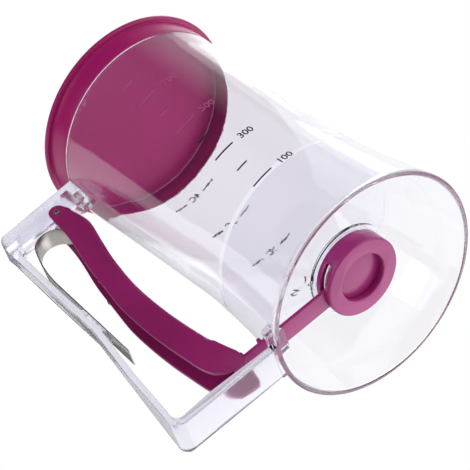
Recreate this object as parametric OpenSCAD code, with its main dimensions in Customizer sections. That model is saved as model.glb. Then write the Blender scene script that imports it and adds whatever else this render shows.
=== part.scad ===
// Hand-held batter dispenser: a clear jar with a funnel floor and a lift-off lid,
// and a trigger in a clear handle that draws a sliding gate away from the outlet.
// Millimetres, +Z up the jar's axis, Z = 0 at the skirt's rim, handle toward +X.

/* [Jar] */
// Outer radius of the skirt's rim, which the dispenser stands on
skirt_r = 58; // [55:0.5:61]
// Outer radius at the waist
waist_r = 49.9; // [48:0.1:51]
// Height of the waist above the rim of the skirt
waist_z = 75; // [70:1:80]
// Outer radius at the mouth
mouth_r = 52.2; // [51:0.1:54]
// Height of the mouth's edge
mouth_z = 184.6; // [182:0.1:195]
// Wall thickness of the clear jar
jar_wall = 2.4; // [1.8:0.1:3]
// Height at which the funnel floor meets the wall
funnel_top_z = 53; // [48:1:58]
// Radius of the outlet bore
outlet_r = 5.2; // [4:0.1:6]
// Outer radius of the neck that carries the collar
neck_r = 17.4; // [17:0.1:18]
// Outer radius of the flange above the collar
neck_flange_r = 22.6; // [21:0.1:24]

/* [Lid] */
// Outer radius of the lip round the lid's top
lid_r = 55; // [54:0.1:57]
// Height of the lid's top edge above the mouth
lid_rise = 4; // [3:0.1:5]
// Depth of the lid's skirt below the mouth
lid_drop = 10.8; // [8:0.1:12]
// Radius of the jar's rim that the lid's skirt fits round
rim_r = 50.8; // [50.7:0.05:51]

/* [Valve] */
// Outer radius of the screw collar
collar_r = 20.3; // [19.8:0.1:21]
// Height of the collar's lower face
collar_z = 7.8; // [6:0.1:9]
// Thickness of the collar's lower wall
collar_floor = 3.5; // [2:0.1:4]
// Radius of the opening in the collar's lower wall
collar_open_r = 12.3; // [8:0.1:12.8]
// Half the width of the window that the gate leaves through
window_half_w = 16.3; // [14:0.1:17]
// Radius of the gate's round end
paddle_r = 13.2; // [13:0.1:14]
// Width of the gate's strip
strip_w = 10.6; // [8:0.1:11]
// Thickness of the gate
gate_t = 1.9; // [1.5:0.1:2.2]

/* [Handle] */
// Width of the lower arm across the handle
arm_w = 19.5; // [18:0.5:21]
// Width of the grip between the arms
grip_w = 11.2; // [10:0.1:13]
// Wall thickness of the hollow upper arm
handle_wall = 2; // [1.8:0.1:2.4]
// Width of the upper arm at its top
upper_arm_w = 13.2; // [12.6:0.1:13.8]
// Gap between the lid's lower edge and the top of the upper arm
arm_drop = 0.8; // [0.6:0.1:2]
// Distance from the jar's axis to the back of the grip at the lower arm
grip_back_x = 116.6; // [112:0.2:120]

/* [Trigger] */
// Distance of the trigger's pivot from the jar's axis
pivot_x = 69.2; // [68:0.2:70]
// Depth of the trigger's pivot below the top of the upper arm
pivot_drop = 13; // [12.8:0.1:13.2]
// Diameter of the pivot pin
pin_d = 3; // [2.5:0.1:3.5]
// Width of the trigger below the handle's upper arm
trigger_w = 17.6; // [16:0.1:18]
// Thickness of the trigger's web
web_t = 2.2; // [1.8:0.1:2.6]

/* [Spring] */
// Width of the leaf spring
spring_w = 10.5; // [8:0.1:11]
// Thickness of the leaf spring
spring_t = 0.6; // [0.5:0.1:0.8]
// Radius of the spring's curl
curl_r = 9.2; // [8.6:0.1:9.6]

/* [Hidden] */
$fn = 96;

eps = 0.01;
// How far a cut runs past what it cuts, and a plane beyond the whole part
over = 1;
beyond = 130;
clear_c = [0.88, 0.88, 0.93, 0.4];
magenta_c = [0.55, 0.1, 0.33];
steel_c = [0.72, 0.71, 0.69];
silicone_c = [0.24, 0.16, 0.2];

// Jar
skirt_power = 1.6;
barrel_power = 1.2;
wall_steps = 52;
rim_round = 0.9;
rim_steps = 4;
rim_lean = 20;
funnel_t = 3.1;
outlet_plate_z = 13.8;
outlet_top_z = 16.4;
neck_flange_z = 17.3;
neck_flange_t = 1.6;
thread_h = 1;
thread_r = neck_r + 0.7;
thread_z = 14.7;
seal_pocket_r = 16.2;
seal_pocket_h = 1.2;
seal_inner_r = outlet_r + 0.6;
seal_gap = 0.1;

// Lands that the handle is bonded to
upper_land_x = 53.2;
lower_land_x = 59.2;
lower_land_h = 3.4;
land_depth = 6;

// Gate and its guide through the skirt
slide_gap = 0.1;
gate_z = collar_z + collar_floor + slide_gap;
gate_top = gate_z + gate_t;
slot_gap = 0.3;
slot_l = 20;
guide_x = 46.5;
guide_half_w = 7.6;
guide_wall = 1.9;
guide_round = 3;
strip_end_x = 75.6;
lug_h = 2.3;
lug_t = 1.8;
lug_gap = 0.3;
stop_lug_x = 56.7;

// Lid
lid_gap = 0.25;
lid_ceiling = 2.2;
lid_low_edge = 0.3;
lid_low_r = jar_r(mouth_z - lid_drop);
lid_high_r = 52.6;
lip_h = 2.9;
lip_edge = 0.7;
lip_w = 2.4;

// Collar
collar_top_z = neck_flange_z;
thread_gap = 0.3;
collar_bore_r = thread_r + thread_gap;
collar_ridge_r = neck_r + thread_gap;
collar_round = 0.9;
collar_bevel = 0.4;
window_top_z = 14.4;

// Handle, as a side outline from the jar round the grip and back
half_arm = arm_w / 2;
arm_edge_r = 1.4;
corner_r = 6;
corner_steps = 8;
inner_corner_r = 4;
arm_top_z = mouth_z - lid_drop - arm_drop;
upper_arm_h = 14.5;
arm_draft = 2.2;
arm_low_z = arm_top_z - upper_arm_h;
half_arm_top = upper_arm_w / 2;
half_arm_low = half_arm_top - arm_draft;
arm_fall = 2.2;
grip_t = 3;
grip_lean = 8;
grip_outer = [[100, arm_top_z - arm_fall], [102.4, 118], [104, 84], [110.6, 46]];
arm_tilt = atan(arm_fall / (grip_outer[0][0] - corner_r - upper_land_x));
lower_arm_root_h = 3.2;
lower_arm_mid = [93, 4.8];
lower_arm_end_h = 4;
open_mid_z = 60;
arm_root_t = 3;
arm_roof_t = 2.8;
hollow_corner = 4;
pad_z = [78, 98];
pad_slope = 2;
pad_back_x = 102.3;
leg_gap = 0.05;
peg_z = 88;
peg_r = 1.5;
peg_gap = 0.2;
peg_head_r = 2.6;
peg_head_t = 0.8;
waist_z_lo = [14, 46];
waist_z_hi = 122;

// Trigger, as points down the jar side and down the grip side
pivot_z = arm_top_z - pivot_drop;
half_trigger = trigger_w / 2;
half_head = 7.1;
head_t = 1.4;
head_lean = 20;
taper_z = [pivot_z - 42, pivot_z - 10];
head_r = 4.2;
fork_z = pivot_z - 2.1;
boss_r = 3.3;
boss_gap = 0.35;
boss_half = half_head - head_t - boss_gap;
pin_proud = 0.2;
cheek_t = 1.8;
bore_gap = 0.05;
nose_r = web_t / 2;
nose_x = 70.7;
nose_gap = 0.35;
nose_z = gate_top + nose_gap + nose_r;
foot_open_l = 10;
pivot = [pivot_x, pivot_z];
nose = [nose_x, nose_z];
jar_side = [pivot + [-3.9, 1.5], pivot + [-5.8, -4.5], pivot + [-6.9, -11], pivot + [-6.7, -20],
            pivot + [-2.8, -34.3], pivot + [1.2, -50], [74, lever_z(0.504)], [74.9, lever_z(0.353)],
            [74.1, lever_z(0.215)], [72.3, lever_z(0.091)], nose - [nose_r, 0]];
grip_side = [pivot + [3.9, 1.5], pivot + [5, -6], pivot + [5.7, -13], pivot + [7.7, -24],
             pivot + [12.4, -43], pivot + [15.6, -61], [87.8, lever_z(0.456)],
             [88.8, lever_z(0.339)], [88.8, lever_z(0.229)], [88, lever_z(0.126)],
             nose + [16.2, 5.25], nose + [14, -2.15]];
nub = [83.6, pivot_z - 56];
nub_r = 0.9;
cheek_foot = [nose + [9.5, -6.45], nose + [3.8, -7.75], nose + [-0.1, -7.95],
              nose + [-1.5, -5.95]];
curve_steps = 4;
head_steps = 10;

// Spring, as straights and arcs from the end on the grip to the tip in the trigger
curl_x = 82.6;
curl_z = pivot_z - 14.3;
curl_lean = 20;
leg_lean = 3;
bend_r = 80;
bend_steps = 8;
curl_step = 7;
drop_l = 4.4;
leg_end_z = 59.5;
tail_l = 18.4;

// Height on the lever, as a share of the way from its nose up to its pivot
function lever_z(share) = nose_z + share * (pivot_z - nose_z);

function jar_r(z) =
    z < waist_z
    ? waist_r + (skirt_r - waist_r) * pow((waist_z - z) / waist_z, skirt_power)
    : waist_r + (mouth_r - waist_r) * pow((z - waist_z) / (mouth_z - waist_z), barrel_power);

// Points of a wall surface, inset from the jar's outside, from z0 to z1
function wall_line(z0, z1, inset, steps) =
    [for (i = [0:steps]) let (z = z0 + (z1 - z0) * i / steps) [jar_r(z) - inset, z]];

function reversed(pts) = [for (i = [len(pts) - 1:-1:0]) pts[i]];

function shifted(pts, dx, dz) = [for (p = pts) [p[0] + dx, p[1] + dz]];

// One point of a Catmull-Rom curve between b and c
function curve_at(a, b, c, d, t) =
    0.5 * (2 * b + (c - a) * t + (2 * a - 5 * b + 4 * c - d) * t * t
    + (3 * b - a - 3 * c + d) * t * t * t);

// A smooth curve through the points
function smooth(pts, steps) =
    let (n = len(pts) - 1)
    concat([for (i = [0:n - 1]) for (k = [0:steps - 1])
            curve_at(pts[max(i - 1, 0)], pts[i], pts[i + 1], pts[min(i + 2, n)], k / steps)],
           [pts[n]]);

// Points of an arc about c
function arc(c, r, a0, a1, steps) =
    [for (i = [0:steps]) let (a = a0 + (a1 - a0) * i / steps) [c[0] + r * cos(a), c[1] + r * sin(a)]];

// Extrudes a side outline, drawn as X and Z, evenly about the handle's middle plane
module across(w) {
    rotate([90, 0, 0])
        linear_extrude(height = w, center = true)
            children();
}

module ring(r_out, r_in, z, h) {
    translate([0, 0, z])
        difference() {
            cylinder(r = r_out, h = h);
            translate([0, 0, -over])
                cylinder(r = r_in, h = h + 2 * over);
        }
}

// Extrudes a front outline, drawn as Y and Z, along the handle from x0 to x1
module along(x0, x1) {
    translate([x0, 0, 0])
        rotate([90, 0, 90])
            linear_extrude(height = x1 - x0)
                children();
}

// The wall from the stepped rim for the lid down to the rounded edge that the jar stands on
module jar_wall_shape() {
    r_in = jar_r(rim_round) - jar_wall;
    rotate_extrude()
        polygon(concat(wall_line(rim_round, mouth_z - lid_drop, 0, wall_steps),
                       [[rim_r, mouth_z - lid_drop], [rim_r, mouth_z]],
                       reversed(wall_line(rim_round, mouth_z, jar_wall, wall_steps)),
                       arc([r_in + rim_round, rim_round], rim_round, 180 + rim_lean, 270,
                           rim_steps),
                       arc([r_in + jar_wall - rim_round, rim_round], rim_round, 270, 360 - rim_lean,
                           rim_steps)));
}

module funnel_floor() {
    top_r = jar_r(funnel_top_z) - jar_wall / 2;
    rotate_extrude()
        polygon([[outlet_r, outlet_top_z], [outlet_r, outlet_plate_z], [neck_r, outlet_plate_z],
                 [neck_r, outlet_top_z + (neck_r - outlet_r) * (funnel_top_z - outlet_top_z)
                          / (top_r - outlet_r) - funnel_t],
                 [top_r, funnel_top_z - funnel_t], [top_r, funnel_top_z]]);
}

module neck_details() {
    ring(neck_flange_r, neck_r - eps, neck_flange_z, neck_flange_t);
    ring(thread_r, neck_r - eps, thread_z, thread_h);
}

// Sleeve inside the skirt that guides the gate's strip
module strip_guide() {
    height = gate_t + 2 * (slot_gap + guide_wall);
    translate([guide_x, 0, gate_z - slot_gap - guide_wall])
        linear_extrude(height = height)
            union() {
                translate([guide_round, -guide_half_w])
                    square([lower_land_x - guide_x, 2 * guide_half_w]);
                translate([0, guide_round - guide_half_w])
                    square([lower_land_x - guide_x, 2 * (guide_half_w - guide_round)]);
                for (y = [-1, 1])
                    translate([guide_round, y * (guide_half_w - guide_round)])
                        circle(r = guide_round);
            }
}

module strip_slot() {
    translate([guide_x - over, -strip_w / 2 - slot_gap, gate_z - slot_gap])
        cube([slot_l, strip_w + 2 * slot_gap, gate_t + 2 * slot_gap]);
}

// Everything inside the middle of the jar's wall
module inside_wall() {
    rotate_extrude()
        polygon(concat([[0, -over], [jar_r(0) - jar_wall / 2, -over]],
                       wall_line(0, mouth_z - over, jar_wall / 2, wall_steps / 2), [[0, mouth_z - over]]));
}

module jar_body() {
    color(clear_c)
        difference() {
            union() {
                jar_wall_shape();
                funnel_floor();
                neck_details();
                intersection() {
                    strip_guide();
                    inside_wall();
                }
                difference() {
                    union() {
                        along(upper_land_x - land_depth, upper_land_x)
                            arm_section(0, arm_low_z);
                        translate([lower_land_x - land_depth, -half_arm, 0])
                            cube([land_depth, arm_w, lower_land_h]);
                    }
                    inside_wall();
                }
            }
            strip_slot();
            translate([0, 0, outlet_plate_z - over])
                cylinder(r = outlet_r, h = outlet_top_z);
            ring(seal_pocket_r, seal_inner_r, outlet_plate_z - over, seal_pocket_h + over);
        }
}

// The handle's outside, between the arms' ends at the jar
module handle_outline() {
    outer = concat([[upper_land_x, arm_top_z]],
                   arc(grip_outer[0] - [corner_r, corner_r], corner_r, 90 - arm_tilt, 0, corner_steps),
                   [grip_outer[1], grip_outer[2], grip_outer[3]],
                   arc([grip_back_x - corner_r, corner_r], corner_r, grip_lean, -90, corner_steps),
                   [[lower_land_x, 0], [lower_land_x, open_mid_z], [upper_land_x, open_mid_z]]);
    inner = shifted(grip_outer, -grip_t, 0);
    difference() {
        polygon(outer);
        polygon(concat([[upper_land_x - over, arm_low_z]],
                       arc([inner[0][0] - inner_corner_r, arm_low_z - inner_corner_r],
                           inner_corner_r, 90, 0, corner_steps),
                       [inner[1], inner[2], inner[3]],
                       arc([grip_back_x - grip_t - inner_corner_r, lower_arm_end_h + inner_corner_r],
                           inner_corner_r, grip_lean, -90, corner_steps),
                       [lower_arm_mid, [lower_land_x, lower_arm_root_h],
                        [upper_land_x - over, lower_arm_root_h]]));
    }
}

// The upper arm's front outline, wider at its top, inset all round and down to a height
module arm_section(inset, low_z) {
    top = half_arm_top - inset;
    low = half_arm_low - inset;
    polygon([[-top, arm_top_z], [-low, arm_low_z], [-low, low_z], [low, low_z],
             [low, arm_low_z], [top, arm_top_z]]);
}

// The handle's front outline: the wide lower arm, the grip and the upper arm
module handle_width() {
    lower = concat(arc([half_arm - arm_edge_r, arm_edge_r], arm_edge_r, 270, 360, rim_steps),
                   [[half_arm, waist_z_lo[0]], [grip_w / 2, waist_z_lo[1]], [grip_w / 2, waist_z_hi],
                    [half_arm_low, arm_low_z], [half_arm_top, arm_top_z]]);
    polygon(concat(lower, reversed([for (p = lower) [-p[0], p[1]]])));
}

// Everything under the upper arm's sloping top, with rounded edges
module under_arm_top() {
    low = beyond - arm_edge_r;
    translate([upper_land_x, 0, arm_top_z])
        rotate([0, arm_tilt, 0])
            along(-beyond, beyond)
                union() {
                    translate([-half_arm_top + arm_edge_r, -beyond])
                        square([2 * (half_arm_top - arm_edge_r), beyond]);
                    translate([-half_arm_top, -beyond])
                        square([2 * half_arm_top, low]);
                    for (s = [-1, 1])
                        translate([s * (half_arm_top - arm_edge_r), -arm_edge_r])
                            circle(r = arm_edge_r);
                    translate([-arm_w, -2 * beyond])
                        square([2 * arm_w, 2 * beyond - corner_r]);
                }
}

// The hollow under the upper arm, between its side walls
module arm_hollow() {
    x0 = upper_land_x + arm_root_t;
    x1 = grip_outer[0][0] - grip_t - inner_corner_r;
    low_z = arm_low_z - over;
    roof_z = arm_top_z - arm_roof_t;
    intersection() {
        across(upper_arm_w)
            polygon([[x0, low_z], [x0, roof_z], [x1 - hollow_corner, roof_z - arm_fall],
                     [x1, roof_z - arm_fall - hollow_corner], [x1, low_z]]);
        along(upper_land_x, grip_back_x)
            arm_section(handle_wall, low_z);
    }
}

// X of the spring leg's middle line at a height
function leg_x(z) = leg_start()[0] + (leg_start()[1] - z) * tan(leg_lean);

// Places things on the spring's leg, pointing from the jar's side to the grip
module at_peg() {
    translate([leg_x(peg_z), 0, peg_z])
        rotate([0, 90 - leg_lean, 0])
            children();
}

// Pad on the grip that the spring's leg lies against, with a peg through the leg
module spring_seat() {
    back = spring_t / 2 + leg_gap;
    across(spring_w)
        polygon([[leg_x(pad_z[1]) + back, pad_z[1]], [pad_back_x, pad_z[1] + pad_slope],
                 [pad_back_x, pad_z[0] + pad_slope], [leg_x(pad_z[0]) + back, pad_z[0]]]);
    at_peg() {
        translate([0, 0, -back])
            cylinder(r = peg_r, h = 2 * back + over);
        translate([0, 0, -back - peg_head_t])
            cylinder(r = peg_head_r, h = peg_head_t);
    }
}

module handle_frame() {
    color(clear_c)
        difference() {
            union() {
                difference() {
                    intersection() {
                        across(arm_w)
                            handle_outline();
                        along(0, beyond)
                            handle_width();
                        under_arm_top();
                    }
                    arm_hollow();
                }
                translate([pivot_x, 0, pivot_z])
                    rotate([90, 0, 0])
                        cylinder(r = boss_r, h = 2 * boss_half, center = true);
                spring_seat();
            }
            translate([pivot_x, 0, pivot_z])
                rotate([90, 0, 0])
                    cylinder(d = pin_d, h = 2 * arm_w, center = true);
        }
}

module lid() {
    top_z = mouth_z + lid_rise;
    low_z = mouth_z - lid_drop + lid_gap;
    ceiling_z = mouth_z + lid_ceiling;
    in_r = rim_r + lid_gap;
    color(magenta_c)
        rotate_extrude()
            polygon([[0, mouth_z], [in_r, mouth_z], [in_r, low_z], [lid_low_r - lid_low_edge, low_z],
                     [lid_low_r, low_z + lid_low_edge], [lid_high_r, top_z - lip_h],
                     [lid_r - lip_edge, top_z - lip_h], [lid_r, top_z - lip_h + lip_edge],
                     [lid_r, top_z - lip_edge], [lid_r - lip_edge, top_z], [lid_r - lip_w, top_z],
                     [lid_r - lip_w - top_z + ceiling_z, ceiling_z], [0, ceiling_z]]);
}

// The trigger's outside as seen from the handle's side
module trigger_outline() {
    polygon(concat(arc(pivot, head_r, head_lean, 180 - head_lean, head_steps),
                   smooth(jar_side, curve_steps), reversed(cheek_foot),
                   reversed(smooth(grip_side, curve_steps))));
    translate(nub)
        circle(r = nub_r);
}

// The trigger's outside as seen along X: narrow at the head, full width below the arm
module trigger_width(head, foot) {
    top = pivot_z + 2 * head_r;
    rotate([90, 0, 90])
        linear_extrude(height = 2 * beyond, center = true)
            polygon([[-head, top], [-head, taper_z[1]], [-foot, taper_z[0]], [-foot, 0],
                     [foot, 0], [foot, taper_z[0]], [head, taper_z[1]], [head, top]]);
}

// The hollow between the two cheeks: it leaves the web below, and a fork round the arm above
module trigger_channel() {
    inner_side = shifted(smooth(jar_side, curve_steps), web_t, 0);
    low = [for (p = inner_side) if (p[1] < fork_z) p];
    top = pivot_z + 2 * head_r;
    intersection() {
        across(trigger_w)
            polygon(concat([[upper_land_x, top], [upper_land_x, fork_z], [low[0][0], fork_z]], low,
                           [[beyond, nose_z], [beyond, top]]));
        trigger_width(half_head - head_t, half_trigger - cheek_t);
    }
    translate([nose_x - foot_open_l, -half_trigger + cheek_t, 0])
        cube([beyond, trigger_w - 2 * cheek_t, nose_z]);
}

module trigger() {
    color(magenta_c)
        difference() {
            union() {
                difference() {
                    intersection() {
                        across(trigger_w)
                            trigger_outline();
                        trigger_width(half_head, half_trigger);
                    }
                    trigger_channel();
                }
                translate([nose_x, 0, nose_z])
                    rotate([90, 0, 0])
                        cylinder(r = nose_r, h = trigger_w - cheek_t, center = true);
            }
            translate([pivot_x, 0, pivot_z])
                rotate([90, 0, 0])
                    cylinder(r = pin_d / 2 + bore_gap, h = 2 * arm_w, center = true);
        }
}

module trigger_pivot_pin() {
    color(steel_c)
        translate([pivot_x, 0, pivot_z])
            rotate([90, 0, 0])
                cylinder(d = pin_d, h = 2 * (half_head + pin_proud), center = true);
}

// Start of the curl on the grip side, then the drop, then the bend's end
function curl_start() = [curl_x + curl_r * cos(curl_lean), curl_z + curl_r * sin(curl_lean)];
function bend_start() = curl_start() + drop_l * [sin(curl_lean), -cos(curl_lean)];
function leg_start() =
    bend_start() + bend_r * [cos(leg_lean) - cos(curl_lean), sin(leg_lean) - sin(curl_lean)];

// Middle line of the spring as points with the outward normal's angle
function spring_line() = concat(
    [[leg_x(leg_end_z), leg_end_z, leg_lean]],
    [for (i = [0:bend_steps]) let (a = leg_lean + (curl_lean - leg_lean) * i / bend_steps)
        [leg_start()[0] - bend_r * (cos(leg_lean) - cos(a)),
         leg_start()[1] + bend_r * (sin(a) - sin(leg_lean)), a]],
    [for (a = [curl_lean:curl_step:180 - curl_lean])
        [curl_x + curl_r * cos(a), curl_z + curl_r * sin(a), a]],
    [[curl_x - curl_r * cos(curl_lean) - tail_l * sin(curl_lean),
      curl_z + curl_r * sin(curl_lean) - tail_l * cos(curl_lean), 180 - curl_lean]]);

module leaf_spring() {
    line = spring_line();
    color(steel_c)
        difference() {
            across(spring_w)
                polygon(concat(
                    [for (p = line) [p[0] + spring_t / 2 * cos(p[2]), p[1] + spring_t / 2 * sin(p[2])]],
                    reversed([for (p = line) [p[0] - spring_t / 2 * cos(p[2]),
                                              p[1] - spring_t / 2 * sin(p[2])]])));
            at_peg()
                cylinder(r = peg_r + peg_gap, h = 2 * over, center = true);
        }
}

// Two lugs hold the trigger's nose, and a third stops the strip at the skirt
module gate_slide() {
    gap = nose_r + lug_gap;
    color(magenta_c) {
        translate([0, 0, gate_z]) {
            cylinder(r = paddle_r, h = gate_t);
            translate([0, -strip_w / 2, 0])
                cube([strip_end_x, strip_w, gate_t]);
        }
        for (x = [stop_lug_x, nose_x - gap - lug_t, nose_x + gap])
            translate([x, -strip_w / 2, gate_z + gate_t - eps])
                cube([lug_t, strip_w, lug_h]);
    }
}

module valve_collar() {
    floor_z = collar_z + collar_floor;
    ridge_z = thread_z + thread_h + thread_gap;
    color(magenta_c)
        difference() {
            rotate_extrude()
                polygon(concat([[collar_open_r, floor_z], [collar_open_r, collar_z + collar_bevel],
                                [collar_open_r + collar_bevel, collar_z]],
                               arc([collar_r - collar_round, collar_z + collar_round], collar_round,
                                   270, 360, rim_steps),
                               [[collar_r, collar_top_z], [collar_bore_r, collar_top_z],
                                [collar_bore_r, collar_top_z - thread_gap],
                                [collar_ridge_r, collar_top_z - thread_gap],
                                [collar_ridge_r, ridge_z], [collar_bore_r, ridge_z],
                                [collar_bore_r, floor_z]]));
            translate([0, -window_half_w, floor_z])
                cube([collar_r + over, 2 * window_half_w, window_top_z - floor_z]);
        }
}

module outlet_seal() {
    color(silicone_c)
        ring(seal_pocket_r - seal_gap, seal_inner_r + seal_gap, gate_top + slide_gap,
             outlet_plate_z + seal_pocket_h - gate_top - slide_gap);
}

jar_body();
handle_frame();
lid();
trigger();
trigger_pivot_pin();
leaf_spring();
gate_slide();
valve_collar();
outlet_seal();
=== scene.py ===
from math import cos, degrees, radians, sin

import bpy
from mathutils import Matrix, Vector


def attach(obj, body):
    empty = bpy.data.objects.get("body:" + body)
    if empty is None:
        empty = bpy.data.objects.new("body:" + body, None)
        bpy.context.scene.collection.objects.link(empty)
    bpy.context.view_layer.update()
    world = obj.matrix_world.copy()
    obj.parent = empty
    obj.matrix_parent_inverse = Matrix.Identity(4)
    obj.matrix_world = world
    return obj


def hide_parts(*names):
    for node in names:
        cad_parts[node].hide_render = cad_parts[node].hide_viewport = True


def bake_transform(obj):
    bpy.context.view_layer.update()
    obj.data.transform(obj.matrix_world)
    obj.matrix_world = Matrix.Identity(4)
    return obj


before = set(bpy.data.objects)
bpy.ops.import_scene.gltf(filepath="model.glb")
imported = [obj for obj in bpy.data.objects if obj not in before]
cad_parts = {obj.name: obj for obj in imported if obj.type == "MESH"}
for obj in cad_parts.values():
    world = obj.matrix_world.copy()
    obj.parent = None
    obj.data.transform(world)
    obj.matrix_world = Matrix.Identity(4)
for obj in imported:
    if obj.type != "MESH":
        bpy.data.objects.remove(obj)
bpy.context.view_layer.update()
scene = bpy.context.scene

MM = 0.001

# The jar's outside, as radii and heights in millimetres
SKIRT_R = 58.0
WAIST_R = 49.9
WAIST_Z = 75.0
MOUTH_R = 52.2
MOUTH_Z = 184.6
SKIRT_POWER = 1.6
BARREL_POWER = 1.2

# The jar's rim, which is rounded and let down a little under the lid
RIM_ROUND = 0.35
RIM_BAND = 0.6
RIM_DROP = 0.15

# Where the handle's ends meet the jar's lands
UPPER_LAND_X = 53.2
UPPER_LAND_Z = (150.0, 180.0)
LOWER_LAND_X = 59.2
LOWER_LAND_TOP = 20.0
LAND_HALF_W = 10.0
LAND_BAND = 0.6
LOWER_LAND_GAP = 0.1

# The stretch of the lever that the fingers pull, where its corners are round
FINGERS_Z = (26.0, 157.0)
WEB_SIDE_Y = 6.5
LEVER_ROUND = 2.1

# Printed volume marks: sizes and heights in millimetres, azimuths in degrees
INK_PROUD = 0.06
INK_T = 0.04
INK_SPREAD = 0.09
TICK_H = 0.95
TICK_CUTS = 7
DIGIT_SIZE = 5.6
ML_COUNT = 8
# The marks from this hundred up are printed in the paler pink ink.
ML_PALE_INK_FROM = 5
ML_STEP = 14.85
ML_FIRST_Z = 50.2
ML_LONG_TICK = (71.5, 85.0)
ML_SHORT_TICK = (73.5, 81.0)
ML_DIGITS = 94.2
CUP_HEIGHTS = {1: 69.0, 2: 99.5, 3: 132.5, 4: 163.5}
CUP_TICKS = ((-110.0, -101.0), (-88.0, -79.5))
CUP_DIGITS = -94.5

# How near two points have to be to be merged, and how flat two faces to be joined
MERGE_WITHIN = 0.003
FLAT_WITHIN = 0.3


def jar_radius(z):
    """Outer radius of the jar at a height, in millimetres."""
    if z < WAIST_Z:
        return WAIST_R + (SKIRT_R - WAIST_R) * ((WAIST_Z - z) / WAIST_Z) ** SKIRT_POWER
    return WAIST_R + (MOUTH_R - WAIST_R) * ((z - WAIST_Z) / (MOUTH_Z - WAIST_Z)) ** BARREL_POWER


# ---------------------------------------------------------------- working by hand

def deselect_all():
    if bpy.context.mode != "OBJECT":
        bpy.ops.object.mode_set(mode="OBJECT")
    bpy.ops.object.select_all(action="DESELECT")


def pick(obj):
    deselect_all()
    obj.select_set(True)
    bpy.context.view_layer.objects.active = obj


def active():
    return bpy.context.view_layer.objects.active


def named(name):
    piece = active()
    piece.name = name
    piece.data.name = name
    return piece


def settle(obj):
    """Puts the object's place into its mesh, so that it sits at the origin."""
    pick(obj)
    bpy.ops.object.transform_apply(location=True, rotation=True, scale=True)


def dressed_copy(node, name):
    """A copy of a moulding with its points merged and its flats joined."""
    pick(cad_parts[node])
    bpy.ops.object.duplicate()
    piece = named(name)
    piece.parent = None
    piece.matrix_world = Matrix.Identity(4)
    piece.data.materials.clear()
    bpy.ops.mesh.customdata_custom_splitnormals_clear()
    bpy.ops.object.mode_set(mode="EDIT")
    bpy.ops.mesh.select_all(action="SELECT")
    bpy.ops.mesh.remove_doubles(threshold=MERGE_WITHIN * MM)
    bpy.ops.mesh.dissolve_limited(angle_limit=radians(FLAT_WITHIN))
    bpy.ops.object.mode_set(mode="OBJECT")
    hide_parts(node)
    return piece


def round_edges(piece, chosen, width, steps):
    """Rounds the edges for which chosen(one end, other end, normals beside it) holds."""
    mesh = piece.data
    beside = {}
    for face in mesh.polygons:
        for key in face.edge_keys:
            beside.setdefault(key, []).append(face.normal.copy())
    pick(piece)
    bpy.ops.object.mode_set(mode="EDIT")
    bpy.ops.mesh.select_mode(type="EDGE")
    bpy.ops.mesh.select_all(action="DESELECT")
    bpy.ops.object.mode_set(mode="OBJECT")
    for edge in mesh.edges:
        a, b = (mesh.vertices[v].co / MM for v in edge.vertices)
        edge.select = chosen(a, b, beside[edge.key])
    bpy.ops.object.mode_set(mode="EDIT")
    bpy.ops.mesh.bevel(offset=width * MM, segments=steps, affect="EDGES")
    bpy.ops.object.mode_set(mode="OBJECT")


def ease_edges(piece, width, steps=3, angle=32):
    """Takes the sharpness off every edge that is still sharp, by a width in millimetres."""
    pick(piece)
    edge = piece.modifiers.new("eased edges", "BEVEL")
    edge.width = width * MM
    edge.segments = steps
    edge.limit_method = "ANGLE"
    edge.angle_limit = radians(angle)
    edge.use_clamp_overlap = True
    bpy.ops.object.modifier_apply(modifier=edge.name)


def smooth_faces(piece, angle=30):
    pick(piece)
    bpy.ops.object.shade_smooth_by_angle(angle=radians(angle))


def shift_points(piece, where, shift):
    """Moves the points for which where(place) holds, in millimetres."""
    for v in piece.data.vertices:
        if where(v.co / MM):
            v.co += Vector(shift) * MM


# ---------------------------------------------------------------- materials

CLEAR_IOR = 1.49
GRAIN_SHARE = 0.12


def new_material(name):
    mat = bpy.data.materials.new(name)
    mat.use_nodes = True
    mat.node_tree.nodes.clear()
    return mat, mat.node_tree


def add_node(tree, kind, **sockets):
    node = tree.nodes.new(kind)
    for key, value in sockets.items():
        node.inputs[key.replace("_", " ")].default_value = value
    return node


def moulded_skin():
    """Group: the faint unevenness of a moulded surface, as a roughness and a height."""
    group = bpy.data.node_groups.new("moulded skin", "ShaderNodeTree")
    face = group.interface
    for label, value in (("Waves", 40.0), ("Grain", 900.0), ("Dullness", 0.05), ("Spread", 0.03)):
        face.new_socket(label, in_out="INPUT", socket_type="NodeSocketFloat").default_value = value
    for label in ("Roughness", "Height", "Cloud"):
        face.new_socket(label, in_out="OUTPUT", socket_type="NodeSocketFloat")
    ins = group.nodes.new("NodeGroupInput")
    outs = group.nodes.new("NodeGroupOutput")
    place = group.nodes.new("ShaderNodeTexCoord")
    waves = add_node(group, "ShaderNodeTexNoise", Detail=2.0, Roughness=0.4)
    grain = add_node(group, "ShaderNodeTexNoise", Detail=3.0, Roughness=0.6)
    for noise, label in ((waves, "Waves"), (grain, "Grain")):
        group.links.new(place.outputs["Object"], noise.inputs["Vector"])
        group.links.new(ins.outputs[label], noise.inputs["Scale"])
    height = group.nodes.new("ShaderNodeMath")
    height.operation = "MULTIPLY_ADD"
    height.inputs[1].default_value = GRAIN_SHARE
    group.links.new(grain.outputs["Fac"], height.inputs[0])
    group.links.new(waves.outputs["Fac"], height.inputs[2])
    group.links.new(height.outputs[0], outs.inputs["Height"])
    group.links.new(waves.outputs["Fac"], outs.inputs["Cloud"])
    rough = group.nodes.new("ShaderNodeMath")
    rough.operation = "MULTIPLY_ADD"
    group.links.new(grain.outputs["Fac"], rough.inputs[0])
    group.links.new(ins.outputs["Spread"], rough.inputs[1])
    group.links.new(ins.outputs["Dullness"], rough.inputs[2])
    group.links.new(rough.outputs[0], outs.inputs["Roughness"])
    return group


SKIN = moulded_skin()


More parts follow.
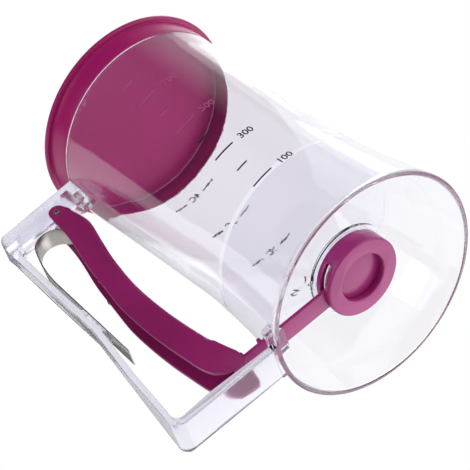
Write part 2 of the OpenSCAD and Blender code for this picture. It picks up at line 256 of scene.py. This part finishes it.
def skin_node(tree, waves, grain, dullness, spread):
    skin = tree.nodes.new("ShaderNodeGroup")
    skin.node_tree = SKIN
    for label, value in (("Waves", waves), ("Grain", grain),
                         ("Dullness", dullness), ("Spread", spread)):
        skin.inputs[label].default_value = value
    return skin


def bumped(tree, height, strength, distance):
    bump = add_node(tree, "ShaderNodeBump", Strength=strength, Distance=distance)
    tree.links.new(height, bump.inputs["Height"])
    return bump


def two_tone(tree, position_0, colour_0, position_1, colour_1):
    """A ramp from one colour to another, between two positions."""
    ramp = tree.nodes.new("ShaderNodeValToRGB")
    ramp.color_ramp.elements[0].position = position_0
    ramp.color_ramp.elements[0].color = colour_0
    ramp.color_ramp.elements[1].position = position_1
    ramp.color_ramp.elements[1].color = colour_1
    return ramp


def clear_plastic(name, tint, shade_tint, depth_tint, density, dullness, relief):
    """Clear moulded plastic that lets light through to what is inside it."""
    mat, tree = new_material(name)
    skin = skin_node(tree, waves=26.0, grain=500.0, dullness=dullness, spread=0.02)
    bump = bumped(tree, skin.outputs["Height"], strength=relief, distance=0.0006)
    body = tree.nodes.new("ShaderNodeBsdfPrincipled")
    body.inputs["Base Color"].default_value = tint
    body.inputs["IOR"].default_value = CLEAR_IOR
    body.inputs["Transmission Weight"].default_value = 1.0
    tree.links.new(skin.outputs["Roughness"], body.inputs["Roughness"])
    tree.links.new(bump.outputs["Normal"], body.inputs["Normal"])
    through = add_node(tree, "ShaderNodeBsdfTransparent", Color=shade_tint)
    path = tree.nodes.new("ShaderNodeLightPath")
    mix = tree.nodes.new("ShaderNodeMixShader")
    tree.links.new(path.outputs["Is Shadow Ray"], mix.inputs["Fac"])
    tree.links.new(body.outputs[0], mix.inputs[1])
    tree.links.new(through.outputs[0], mix.inputs[2])
    inside = add_node(tree, "ShaderNodeVolumeAbsorption", Color=depth_tint, Density=density)
    out = tree.nodes.new("ShaderNodeOutputMaterial")
    tree.links.new(mix.outputs[0], out.inputs["Surface"])
    tree.links.new(inside.outputs[0], out.inputs["Volume"])
    return mat


def coloured_plastic(name, colour, shade, dullness, shine=0.5):
    """Opaque glossy plastic with a slight cloudiness in its colour."""
    mat, tree = new_material(name)
    skin = skin_node(tree, waves=30.0, grain=1400.0, dullness=dullness, spread=0.03)
    bump = bumped(tree, skin.outputs["Height"], strength=0.02, distance=0.0003)
    ramp = two_tone(tree, 0.35, shade, 0.65, colour)
    tree.links.new(skin.outputs["Cloud"], ramp.inputs["Fac"])
    body = tree.nodes.new("ShaderNodeBsdfPrincipled")
    body.inputs["Specular IOR Level"].default_value = shine
    tree.links.new(ramp.outputs["Color"], body.inputs["Base Color"])
    tree.links.new(skin.outputs["Roughness"], body.inputs["Roughness"])
    tree.links.new(bump.outputs["Normal"], body.inputs["Normal"])
    out = tree.nodes.new("ShaderNodeOutputMaterial")
    tree.links.new(body.outputs[0], out.inputs["Surface"])
    return mat


def brushed_steel(name, stretch):
    """Spring steel with fine brush lines along one axis."""
    mat, tree = new_material(name)
    place = tree.nodes.new("ShaderNodeTexCoord")
    lines = tree.nodes.new("ShaderNodeMapping")
    lines.inputs["Scale"].default_value = stretch
    noise = add_node(tree, "ShaderNodeTexNoise", Scale=1.0, Detail=4.0, Roughness=0.65)
    ramp = two_tone(tree, 0.3, (0.26, 0.25, 0.235, 1), 0.7, (0.5, 0.48, 0.45, 1))
    rough = add_node(tree, "ShaderNodeMapRange")
    rough.inputs["To Min"].default_value = 0.22
    rough.inputs["To Max"].default_value = 0.42
    bump = bumped(tree, noise.outputs["Fac"], strength=0.2, distance=0.0001)
    body = tree.nodes.new("ShaderNodeBsdfPrincipled")
    body.inputs["Metallic"].default_value = 1.0
    out = tree.nodes.new("ShaderNodeOutputMaterial")
    tree.links.new(place.outputs["Object"], lines.inputs["Vector"])
    tree.links.new(lines.outputs["Vector"], noise.inputs["Vector"])
    tree.links.new(noise.outputs["Fac"], ramp.inputs["Fac"])
    tree.links.new(noise.outputs["Fac"], rough.inputs["Value"])
    tree.links.new(ramp.outputs["Color"], body.inputs["Base Color"])
    tree.links.new(rough.outputs["Result"], body.inputs["Roughness"])
    tree.links.new(bump.outputs["Normal"], body.inputs["Normal"])
    tree.links.new(body.outputs[0], out.inputs["Surface"])
    return mat


def paint(piece, mat):
    piece.data.materials.clear()
    piece.data.materials.append(mat)


CLEAR_JAR = clear_plastic("clear jar plastic",
                          tint=(0.955, 0.952, 0.99, 1), shade_tint=(0.985, 0.985, 0.99, 1),
                          depth_tint=(0.4, 0.42, 0.62, 1), density=2.2, dullness=0.0, relief=0.1)
CLEAR_HANDLE = clear_plastic("clear handle plastic",
                             tint=(0.85, 0.845, 0.92, 1), shade_tint=(0.95, 0.95, 0.97, 1),
                             depth_tint=(0.4, 0.38, 0.55, 1), density=6.0, dullness=0.14,
                             relief=0.003)
LID_MAGENTA = coloured_plastic("lid magenta", (0.45, 0.012, 0.16, 1), (0.41, 0.01, 0.14, 1),
                               dullness=0.25, shine=0.35)
# The lever's magenta is the lid's plastic set darker, as painted shade for its shaded side.
LEVER_MAGENTA_SHADED = coloured_plastic("lever magenta with painted shade", (0.38, 0.018, 0.17, 1), (0.32, 0.015, 0.14, 1),
                                 dullness=0.29, shine=0.4)
# The valve's magenta is the lid's plastic set paler and more violet, as a painted sheen of the
# light from below.
VALVE_MAGENTA_PAINTED_SHEEN = coloured_plastic("valve magenta with painted sheen", (0.43, 0.028, 0.21, 1), (0.38, 0.024, 0.18, 1),
                                 dullness=0.24, shine=0.4)
SILICONE = coloured_plastic("dark silicone", (0.05, 0.012, 0.028, 1), (0.035, 0.01, 0.02, 1),
                            dullness=0.5)
INK = coloured_plastic("maroon ink", (0.06, 0.006, 0.025, 1), (0.04, 0.005, 0.018, 1),
                       dullness=0.45, shine=0.25)
# The marks from 500 up are printed in a paler pink ink than the rest.
PALE_PINK_INK = coloured_plastic("pale pink ink", (0.5, 0.085, 0.26, 1), (0.42, 0.065, 0.21, 1),
                            dullness=0.45)
STEEL = brushed_steel("brushed spring steel", stretch=(9000, 120, 120))
PIN_STEEL = brushed_steel("pin steel", stretch=(400, 400, 400))


# ---------------------------------------------------------------- the mouldings

def at_rim(a, b, normals):
    """An edge that runs round the jar's rim, at its top."""
    return min(a.z, b.z) > MOUTH_Z - 0.05 and abs(a.xy.length - b.xy.length) < 0.1


def on_jar_side(a, b, normals):
    """An edge between the lever's web and the outside of a cheek, below the arm."""
    low, high = FINGERS_Z
    return (max(a.z, b.z) < high and min(a.z, b.z) > low
            and min(abs(a.y), abs(b.y)) > WEB_SIDE_Y and len(normals) == 2
            and min(n.x for n in normals) < -0.5 and max(abs(n.y) for n in normals) > 0.9)


def wall_x(p):
    """How far out the jar's wall lies at a point's height and side, in millimetres."""
    return (jar_radius(max(p.z, 0)) ** 2 - p.y ** 2) ** 0.5


def seat(piece, depth, gap):
    """Brings the points near the upper land down to the jar's wall, so that no step shows."""
    low, high = UPPER_LAND_Z
    for v in piece.data.vertices:
        p = v.co / MM
        if abs(p.x - UPPER_LAND_X) < depth and abs(p.y) < LAND_HALF_W and low < p.z < high:
            v.co.x += (wall_x(p) + gap - UPPER_LAND_X) * MM


jar = dressed_copy("jar_body", "jar")
round_edges(jar, at_rim, RIM_ROUND, steps=3)
seat(jar, depth=0.05, gap=0.08)
shift_points(jar, lambda p: p.z > MOUTH_Z - RIM_BAND, (0, 0, -RIM_DROP))
smooth_faces(jar)
paint(jar, CLEAR_JAR)
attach(jar, "base")

handle = dressed_copy("handle_frame", "handle")
ease_edges(handle, width=0.5)
seat(handle, depth=LAND_BAND, gap=0.2)
shift_points(handle, lambda p: p.x < LOWER_LAND_X + LAND_BAND and p.z < LOWER_LAND_TOP,
             (LOWER_LAND_GAP, 0, 0))
smooth_faces(handle)
paint(handle, CLEAR_HANDLE)
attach(handle, "base")

lid = dressed_copy("lid", "lid_cap")
ease_edges(lid, width=0.2)
smooth_faces(lid)
paint(lid, LID_MAGENTA)
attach(lid, "lid")

lever = dressed_copy("trigger", "trigger_lever")
round_edges(lever, on_jar_side, LEVER_ROUND, steps=6)
ease_edges(lever, width=0.45)
smooth_faces(lever)
paint(lever, LEVER_MAGENTA_SHADED)
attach(lever, "trigger")

pin = dressed_copy("trigger_pivot_pin", "pivot_pin")
ease_edges(pin, width=0.3)
smooth_faces(pin)
paint(pin, PIN_STEEL)
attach(pin, "base")

gate = dressed_copy("gate_slide", "gate")
ease_edges(gate, width=0.3)
smooth_faces(gate)
paint(gate, VALVE_MAGENTA_PAINTED_SHEEN)
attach(gate, "gate")

collar = dressed_copy("valve_collar", "screw_collar")
ease_edges(collar, width=0.25, steps=2)
smooth_faces(collar)
paint(collar, VALVE_MAGENTA_PAINTED_SHEEN)
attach(collar, "base")

seal = dressed_copy("outlet_seal", "seal_ring")
ease_edges(seal, width=0.15, steps=2)
smooth_faces(seal)
paint(seal, SILICONE)
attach(seal, "base")

spring = dressed_copy("leaf_spring", "spring_strip")
ease_edges(spring, width=0.12, steps=2)
smooth_faces(spring, angle=40)
paint(spring, STEEL)
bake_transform(spring)


# ---------------------------------------------------------------- printed marks

def wrap_on_jar(piece, azimuth, z):
    """Lays a flat piece, drawn in X and Y, on the jar's outside about a point."""
    settle(piece)
    for v in piece.data.vertices:
        height = z + v.co.y / MM
        radius = jar_radius(height) + INK_PROUD + v.co.z / MM
        angle = radians(azimuth) + v.co.x / MM / jar_radius(z)
        v.co = Vector((radius * cos(angle), radius * sin(angle), height)) * MM
    pick(piece)
    bpy.ops.object.mode_set(mode="EDIT")
    bpy.ops.mesh.select_all(action="SELECT")
    bpy.ops.mesh.normals_make_consistent(inside=False)
    bpy.ops.object.mode_set(mode="OBJECT")


def tick(azimuth_0, azimuth_1, z):
    """A printed line between two azimuths."""
    length = radians(azimuth_1 - azimuth_0) * jar_radius(z) * MM
    deselect_all()
    bpy.ops.mesh.primitive_plane_add(size=1)
    line = active()
    line.dimensions = (length, TICK_H * MM, 0)
    settle(line)
    bpy.ops.object.mode_set(mode="EDIT")
    bpy.ops.mesh.select_all(action="SELECT")
    bpy.ops.mesh.subdivide(number_cuts=TICK_CUTS)
    bpy.ops.mesh.extrude_region_move(TRANSFORM_OT_translate={"value": (0, 0, INK_T * MM)})
    bpy.ops.object.mode_set(mode="OBJECT")
    wrap_on_jar(line, (azimuth_0 + azimuth_1) / 2, z)
    return line


def label(words, azimuth, z):
    """Printed characters centred on an azimuth and a height."""
    deselect_all()
    bpy.ops.object.text_add()
    text = active()
    text.data.body = words
    text.data.size = DIGIT_SIZE * MM
    text.data.offset = INK_SPREAD * MM
    text.data.align_x = "CENTER"
    text.data.align_y = "CENTER"
    text.data.extrude = INK_T * MM / 2
    text.data.resolution_u = 4
    bpy.ops.object.convert(target="MESH")
    text = active()
    wrap_on_jar(text, azimuth, z)
    return text


def printed(name, parts, ink):
    """Joins ticks and characters into one printed piece."""
    deselect_all()
    for part in parts:
        part.select_set(True)
    bpy.context.view_layer.objects.active = parts[0]
    bpy.ops.object.join()
    marks = named(name)
    paint(marks, ink)
    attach(marks, "base")


low_parts, high_parts = [], []
for hundred in range(1, ML_COUNT + 1):
    mark_z = ML_FIRST_Z + (hundred - 1) * ML_STEP
    parts = low_parts if hundred < ML_PALE_INK_FROM else high_parts
    if hundred % 2:
        parts.append(tick(*ML_LONG_TICK, mark_z))
        parts.append(label(str(hundred * 100), ML_DIGITS, mark_z))
    else:
        parts.append(tick(*ML_SHORT_TICK, mark_z))
printed("millilitre_marks", low_parts, INK)
printed("pale_ink_marks", high_parts, PALE_PINK_INK)

cup_parts = []
for cups, mark_z in CUP_HEIGHTS.items():
    cup_parts.append(tick(*CUP_TICKS[0], mark_z))
    cup_parts.append(label(str(cups) + "C", CUP_DIGITS, mark_z))
    cup_parts.append(tick(*CUP_TICKS[1], mark_z))
printed("cup_marks", cup_parts, INK)


# ---------------------------------------------------------------- stage, lamps, camera

WHITE = (1, 1, 1, 1)
FLOOR_SIZE = 8.0
FLOOR_DROP = 0.0003
FLOOR_COLOUR = (0.9, 0.9, 0.9, 1)
FLOOR_GLOW = (0.2, 0.56)
FLOOR_GLOW_REACH = (0.4, 3.2)
LIGHT_LEVEL = 0.85
SEEN_LEVEL = 1.0
CENTRE = (0.03, 0, 0.095)
CARD_GREY = (0.3, 0.3, 0.31, 1)
SCREEN_R = 12.0
SCREEN_FACES = 120
SCREEN_Z = (5.2, 25.6)
SCREEN_DARK = (0.03, 0.03, 0.035, 1)
SCREEN_PALE = (0.9, 0.9, 0.9, 1)


def floor_finish():
    """Pale floor that takes shadows, whitens far out, and can be seen through from below."""
    mat, tree = new_material("studio floor")
    place = tree.nodes.new("ShaderNodeTexCoord")
    from_middle = tree.nodes.new("ShaderNodeVectorMath")
    from_middle.operation = "LENGTH"
    whiter = tree.nodes.new("ShaderNodeMapRange")
    whiter.interpolation_type = "SMOOTHSTEP"
    whiter.inputs["From Min"].default_value = FLOOR_GLOW_REACH[0]
    whiter.inputs["From Max"].default_value = FLOOR_GLOW_REACH[1]
    whiter.inputs["To Min"].default_value = FLOOR_GLOW[0]
    whiter.inputs["To Max"].default_value = FLOOR_GLOW[1]
    glow = add_node(tree, "ShaderNodeEmission", Color=WHITE)
    pale = add_node(tree, "ShaderNodeBsdfDiffuse", Color=FLOOR_COLOUR)
    top = tree.nodes.new("ShaderNodeAddShader")
    clear = tree.nodes.new("ShaderNodeBsdfTransparent")
    side = tree.nodes.new("ShaderNodeNewGeometry")
    top_or_back = tree.nodes.new("ShaderNodeMixShader")
    out = tree.nodes.new("ShaderNodeOutputMaterial")
    tree.links.new(place.outputs["Object"], from_middle.inputs[0])
    tree.links.new(from_middle.outputs["Value"], whiter.inputs["Value"])
    tree.links.new(whiter.outputs["Result"], glow.inputs["Strength"])
    tree.links.new(pale.outputs[0], top.inputs[0])
    tree.links.new(glow.outputs[0], top.inputs[1])
    tree.links.new(side.outputs["Backfacing"], top_or_back.inputs["Fac"])
    tree.links.new(top.outputs[0], top_or_back.inputs[1])
    tree.links.new(clear.outputs[0], top_or_back.inputs[2])
    tree.links.new(top_or_back.outputs[0], out.inputs["Surface"])
    return mat


def lay_floor():
    deselect_all()
    bpy.ops.mesh.primitive_plane_add(size=FLOOR_SIZE, location=(0, 0, -FLOOR_DROP))
    floor = named("studio_floor")
    settle(floor)
    paint(floor, floor_finish())
    floor.visible_diffuse = False
    floor.visible_shadow = False
    floor.visible_glossy = False


def light_world():
    """White all round: full white where it is seen, and a little less where it lights."""
    world = bpy.data.worlds.new("studio")
    scene.world = world
    world.use_nodes = True
    sky = world.node_tree
    sky.nodes.clear()
    ray = sky.nodes.new("ShaderNodeLightPath")
    seen_or_mirrored = sky.nodes.new("ShaderNodeMath")
    seen_or_mirrored.operation = "MAXIMUM"
    or_seen_through = sky.nodes.new("ShaderNodeMath")
    or_seen_through.operation = "MAXIMUM"
    strength = sky.nodes.new("ShaderNodeMapRange")
    strength.inputs["To Min"].default_value = LIGHT_LEVEL
    strength.inputs["To Max"].default_value = SEEN_LEVEL
    white = add_node(sky, "ShaderNodeBackground", Color=WHITE)
    out = sky.nodes.new("ShaderNodeOutputWorld")
    sky.links.new(ray.outputs["Is Camera Ray"], seen_or_mirrored.inputs[0])
    sky.links.new(ray.outputs["Is Glossy Ray"], seen_or_mirrored.inputs[1])
    sky.links.new(seen_or_mirrored.outputs[0], or_seen_through.inputs[0])
    sky.links.new(ray.outputs["Is Transmission Ray"], or_seen_through.inputs[1])
    sky.links.new(or_seen_through.outputs[0], strength.inputs["Value"])
    sky.links.new(strength.outputs["Result"], white.inputs["Strength"])
    sky.links.new(white.outputs[0], out.inputs["Surface"])


def facing(place, aim):
    """The turn that points a lamp or a card at its aim."""
    return (Vector(aim) - Vector(place)).to_track_quat("-Z", "Y").to_euler()


def soft_box(name, place, size, power, colour=(1, 1, 1)):
    deselect_all()
    bpy.ops.object.light_add(type="AREA", location=place)
    lamp = named(name)
    lamp.data.shape = "RECTANGLE"
    lamp.data.size, lamp.data.size_y = size
    lamp.data.energy = power
    lamp.data.color = colour
    lamp.rotation_euler = facing(place, CENTRE)


def grey_card(name, place, aim, size):
    """A card that only shows as a darker band in the gloss of the plastic."""
    mat, tree = new_material(name)
    grey = add_node(tree, "ShaderNodeBsdfDiffuse", Color=CARD_GREY)
    out = tree.nodes.new("ShaderNodeOutputMaterial")
    tree.links.new(grey.outputs[0], out.inputs["Surface"])
    deselect_all()
    bpy.ops.mesh.primitive_plane_add(size=1, location=place, rotation=facing(place, aim))
    card = named(name)
    card.dimensions = (*size, 0)
    settle(card)
    paint(card, mat)
    card.visible_camera = False
    card.visible_diffuse = False
    card.visible_shadow = False
    card.visible_transmission = False


def dark_screen(name, azimuth_0, azimuth_1, z_0, z_1):
    """A curved screen far out beside the camera, which keeps the jar's near wall free of glare."""
    mat, tree = new_material(name)
    place = tree.nodes.new("ShaderNodeTexCoord")
    around = tree.nodes.new("ShaderNodeTexGradient")
    around.gradient_type = "RADIAL"
    fade = two_tone(tree, 0.845, SCREEN_DARK, 0.935, SCREEN_PALE)
    cloth = tree.nodes.new("ShaderNodeBsdfDiffuse")
    out = tree.nodes.new("ShaderNodeOutputMaterial")
    tree.links.new(place.outputs["Object"], around.inputs["Vector"])
    tree.links.new(around.outputs["Fac"], fade.inputs["Fac"])
    tree.links.new(fade.outputs["Color"], cloth.inputs["Color"])
    tree.links.new(cloth.outputs[0], out.inputs["Surface"])
    deselect_all()
    bpy.ops.mesh.primitive_cylinder_add(vertices=SCREEN_FACES, radius=SCREEN_R, depth=z_1 - z_0,
                                        end_fill_type="NOTHING", location=(0, 0, (z_0 + z_1) / 2))
    screen = named(name)
    settle(screen)
    bpy.ops.object.mode_set(mode="EDIT")
    bpy.ops.mesh.select_mode(type="FACE")
    bpy.ops.mesh.select_all(action="DESELECT")
    bpy.ops.object.mode_set(mode="OBJECT")
    for face in screen.data.polygons:
        azimuth = degrees(face.center.xy.angle_signed(Vector((1, 0)))) % 360
        face.select = not azimuth_0 < azimuth < azimuth_1
    bpy.ops.object.mode_set(mode="EDIT")
    bpy.ops.mesh.delete(type="FACE")
    bpy.ops.object.mode_set(mode="OBJECT")
    paint(screen, mat)
    screen.visible_camera = False
    screen.visible_transmission = z_0 > 0
    screen.visible_shadow = False


lay_floor()
light_world()
soft_box("top_box", (-0.6, -0.3, 1.3), size=(0.9, 0.9), power=2.8)
soft_box("side_box", (-0.6, 0.9, -0.5), size=(0.45, 0.45), power=0.8)
soft_box("low_box", (-0.3, -0.8, -0.78), size=(0.95, 0.95), power=3.9, colour=(0.94, 0.9, 1.0))
soft_box("right_box", (1.0, 0.87, 0.6), size=(1.0, 0.5), power=2.2)
soft_box("left_box", (-1.02, 0.28, -0.68), size=(0.8, 0.5), power=2.6)
grey_card("grey_card", (0.38, -0.98, 1.06), aim=(0.1, 0, 0.09), size=(0.8, 0.6))
dark_screen("dark_screen", 4, 170, SCREEN_Z[0], SCREEN_Z[1])
dark_screen("low_screen", 4, 150, -SCREEN_Z[1], -SCREEN_Z[0])

CAMERA_PLACE = (0.37810, 0.84947, -0.72051)
CAMERA_RIGHT = (-0.74759, -0.26067, -0.61087)
CAMERA_UP = (-0.59605, 0.66905, 0.44396)
CAMERA_BACK = (0.29297, 0.69601, -0.65555)
CAMERA_LENS = 196.2

deselect_all()
bpy.ops.object.camera_add(location=CAMERA_PLACE)
camera = named("camera")
turn = Matrix((CAMERA_RIGHT, CAMERA_UP, CAMERA_BACK)).transposed().to_4x4()
camera.matrix_world = Matrix.Translation(CAMERA_PLACE) @ turn
camera.data.lens = CAMERA_LENS
camera.data.sensor_width = 36
camera.data.clip_start = 0.05
camera.data.clip_end = 40
scene.camera = camera

scene.view_settings.view_transform = "Standard"
scene.cycles.max_bounces = 96
scene.cycles.transmission_bounces = 96
scene.cycles.glossy_bounces = 64
scene.cycles.transparent_max_bounces = 32
